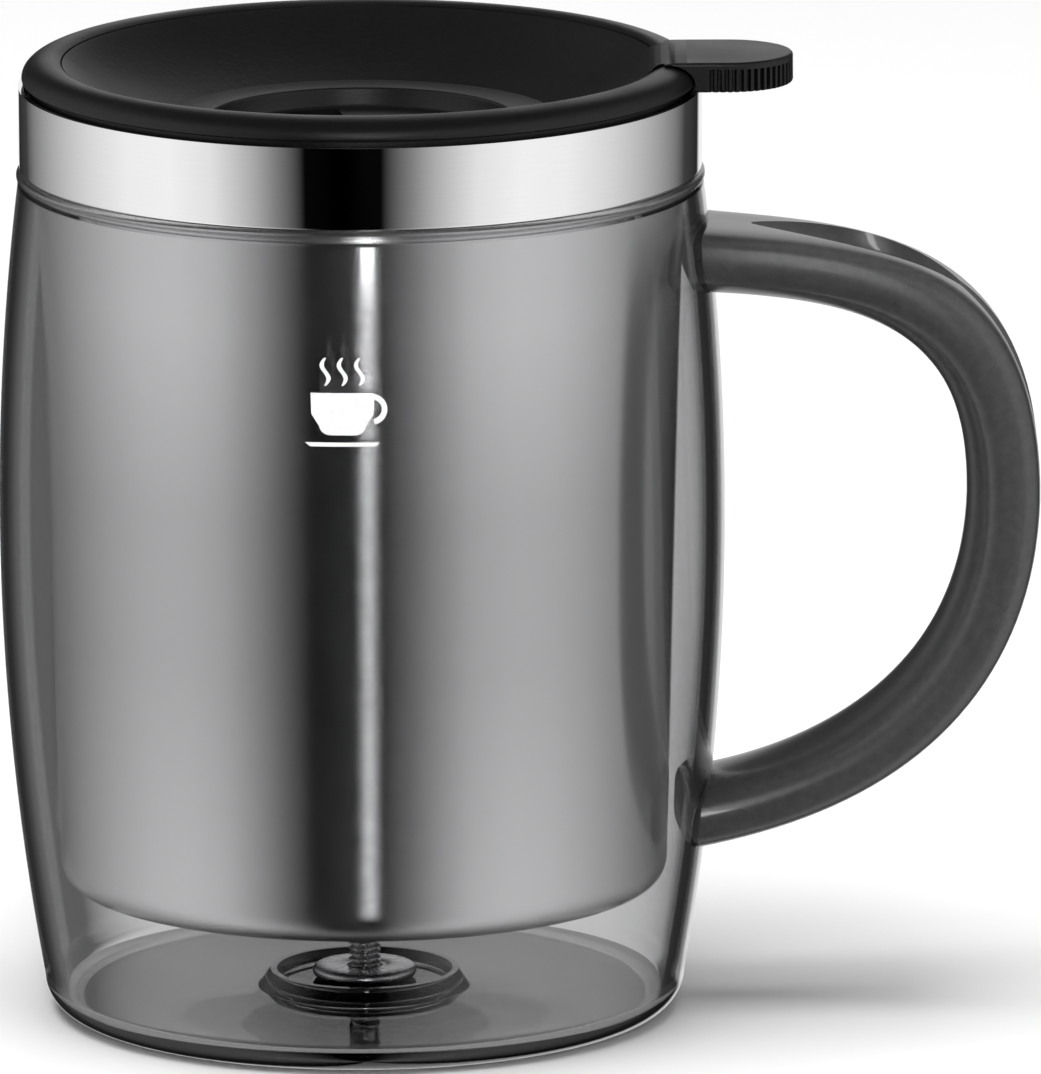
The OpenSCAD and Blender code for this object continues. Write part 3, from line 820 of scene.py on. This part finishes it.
def makeDisc():
    # disc, hub and the bowl round them, all turned in one
    c = closure
    plateTop = c["low"] + c["plate"]
    bowl = [funnelPoint(i / lid["steps"]) for i in range(lid["bowlSteps"] + 1)]
    outline = [(0, plateTop), (c["land"] - 1.2, plateTop)]
    outline += arcPoints((c["land"] - 1.2, plateTop + 0.6), 0.6, -90, -10, 5)
    outline += arcPoints((c["land"] + 0.35, c["top"] - 0.35), 0.35, 180, 90, 5)
    outline += [(c["disc"] - 0.1, c["top"])] + bowl
    outline += [(r, z - c["bowl"]) for r, z in bowl[::-1]] + [(c["disc"], bowl[0][1] - c["bowl"])]
    outline += [(c["disc"], c["low"] + 0.2), (c["disc"] - 0.2, c["low"]), (c["hub"], c["low"])]
    for low, high in (c["ringGroove"], c["clipGroove"]):
        outline += [(c["hub"], high), (c["grooveIn"], high), (c["grooveIn"], low), (c["hub"], low)]
    outline += [(c["hub"], c["hubLow"] + 0.5), (c["hub"] - 0.5, c["hubLow"]), (0, c["hubLow"])]
    return turnOutline("closureDisc", outline, close=False, steps=192)


def leverPlan():
    # round tip and straight sides
    c = closure
    half = c["wide"] / 2
    near = [(33.0, -half)] + arcPoints((c["reach"] - half, 0), half, -90, 0, 24)
    return near + [(x, -y) for x, y in near[::-1]][1:]


def leverRibs():
    # a comb round the tip that leaves narrow ribs and stops short of the top face
    c = closure
    half = c["wide"] / 2
    tip = c["reach"] - half
    pitch = math.radians(c["ribStep"])
    cut = half - c["ribDeep"]
    edge = []
    for i in range(-c["ribs"], c["ribs"] + 1):
        for step, r in ((-0.37, half + 0.2), (-0.14, cut), (0.14, cut), (0.37, half + 0.2)):
            turn = (i + step) * pitch
            past = max(0, abs(turn) - math.pi / 2) * half
            turn = max(-math.pi / 2, min(math.pi / 2, turn))
            edge.append((tip + r * math.cos(turn) - past, r * math.sin(turn)))
    end = tip - 3.0
    return [(end, -half - 0.2)] + edge + [(end, half + 0.2), (end, half + 2), (c["reach"] + 2, half + 2),
                                          (c["reach"] + 2, -half - 2), (end, -half - 2)]


def makeClosure():
    c = closure
    tall = c["leverTop"] - c["leverLow"]
    lever = extrudeOutline("thumbLever", [(x, y, c["leverLow"]) for x, y in leverPlan()], (0, 0, tall))
    applyModifier(lever, "BEVEL", width=0.4 * mm, segments=3, limit_method="ANGLE",
                  angle_limit=math.radians(60), use_clamp_overlap=True)
    # the top runs down into the bowl behind the crest
    top = c["leverTop"]
    bend = [(32.5, 116.4), (34.2, 118.3), (34.85, 118.97), (35.35, 119.55), (36.0, 120.13),
            (36.6, 120.47), (37.3, top - 0.3), (38.2, top - 0.1), (39.2, top - 0.02), (40.5, top),
            (40.5, top + 4), (32.5, top + 4)]
    combine(lever, extrudeOutline("bendCutter", [(x, -20, z) for x, z in bend], (0, 40, 0)), "DIFFERENCE")
    bowl = [funnelPoint(i / lid["steps"]) for i in range(lid["bowlSteps"] + 1)]
    clearance = [(lid["basin"], c["low"])] + [(r, z - c["bowl"] / 2) for r, z in bowl] + [bowl[-1]]
    clearance += rimFace(c["gap"]) + [(lid["reach"] + c["gap"], c["low"])]
    combine(lever, turnOutline("rimClearance", clearance, steps=192), "DIFFERENCE")
    low = 110
    comb = extrudeOutline("ribCutter", [(x, y, low) for x, y in leverRibs()], (0, 0, top - c["ribTop"] - low))
    combine(lever, comb, "DIFFERENCE")
    body = makeDisc()
    combine(body, lever, "UNION")
    combine(body, makeSlotCutter("discSlotCutter", 180 - drinkSlot["open"], c["low"] - 2, 4), "DIFFERENCE")
    smoothByAngle(body, 30)
    return body


closureBlack = grainMaterial("closureBlack", (0.004, 0.004, 0.004), 1100, 0.4, (0.36, 0.46),
                             **{"Specular IOR Level": 0.36})
closureDisc = makeClosure()
place(closureDisc, "closure", "closure_black", closureBlack, "closure_disc")
print("closure made")


# printed emblem

emblem = dict(x=-2.0, z=84.5, wide=3.9, low=2.9, tall=5.2, ink=0.05, lift=0.02)


def steamLine(x, z, tall, sway, half):
    path = [(x + sway * math.sin(2 * math.pi * i / 12), z + tall * i / 12) for i in range(13)]
    left = [(px - half * math.sin(math.pi * (i + 1) / 14) ** 0.5, pz) for i, (px, pz) in enumerate(path)]
    right = [(px + half * math.sin(math.pi * (i + 1) / 14) ** 0.5, pz) for i, (px, pz) in enumerate(path)]
    return left + right[::-1]


def makeEmblem():
    e = emblem
    x, z = e["x"], e["z"]
    bowl = [(x - e["wide"], z + e["tall"] / 2), (x - e["wide"] * 0.98, z)]
    bowl += arcPoints((x - e["low"] + 1.4, z - e["tall"] / 2 + 1.4), 1.4, 190, 270, 6)
    bowl += arcPoints((x + e["low"] - 1.4, z - e["tall"] / 2 + 1.4), 1.4, -90, -10, 6)
    bowl += [(x + e["wide"] * 0.98, z), (x + e["wide"], z + e["tall"] / 2)]
    gripCentre = (x + e["wide"] - 0.3, z + 0.6)
    grip = arcPoints(gripCentre, 1.9, 80, -80, 12) + arcPoints(gripCentre, 1.2, -80, 80, 12)
    saucer = [(x - 4.6, z - 3.5), (x + 4.6, z - 3.5), (x + 4.0, z - 4.0), (x - 4.0, z - 4.0)]
    marks = [bowl, grip, saucer] + [steamLine(x + i * 2.1, z + 3.5, 3.4, 0.42, 0.3) for i in (-1, 0, 1)]
    # each mark is cut from a thin ring of ink that follows the barrel
    layer = barrelSide(-e["lift"] - e["ink"], z - 8, z + 10, 20)
    layer += barrelSide(-e["lift"], z - 8, z + 10, 20)[::-1]
    pieces = []
    for mark in marks:
        piece = extrudeOutline("emblemPart", [(px, -60, pz) for px, pz in mark], (0, 40, 0))
        combine(piece, turnOutline("inkLayer", layer, steps=192), "INTERSECT")
        pieces.append(piece)
    clearSelection()
    for piece in pieces:
        piece.select_set(True)
    bpy.context.view_layer.objects.active = pieces[0]
    bpy.ops.object.join()
    body = pieces[0]
    body.name = "frontEmblem"
    smoothByAngle(body, 35)
    return body


ink = grainMaterial("whiteInk", (0.86, 0.86, 0.86), 900, 0.02, (0.35, 0.5))
frontEmblem = makeEmblem()
place(frontEmblem, "mug", "white_ink", ink)
print("emblem made")


# CAD nodes that keep their shape

softBlack = grainMaterial("softBlack", (0.03, 0.03, 0.03), 700, 0.05, (0.55, 0.7))
silicone = grainMaterial("siliconeGrey", (0.1, 0.1, 0.1), 600, 0.03, (0.4, 0.55))
basePlastic = grainMaterial("basePlastic", (0.02, 0.02, 0.02), 1200, 0.08, (0.4, 0.5))
for name, material in (("boss_seal", softBlack), ("base_seal", softBlack), ("base_nut", basePlastic),
                       ("lid_gasket", silicone), ("drink_seal", silicone), ("hub_ring", silicone),
                       ("hub_clip", fastenerSteel)):
    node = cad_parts[name]
    node.data.materials.clear()
    node.data.materials.append(material)
print("seals and small nodes finished")
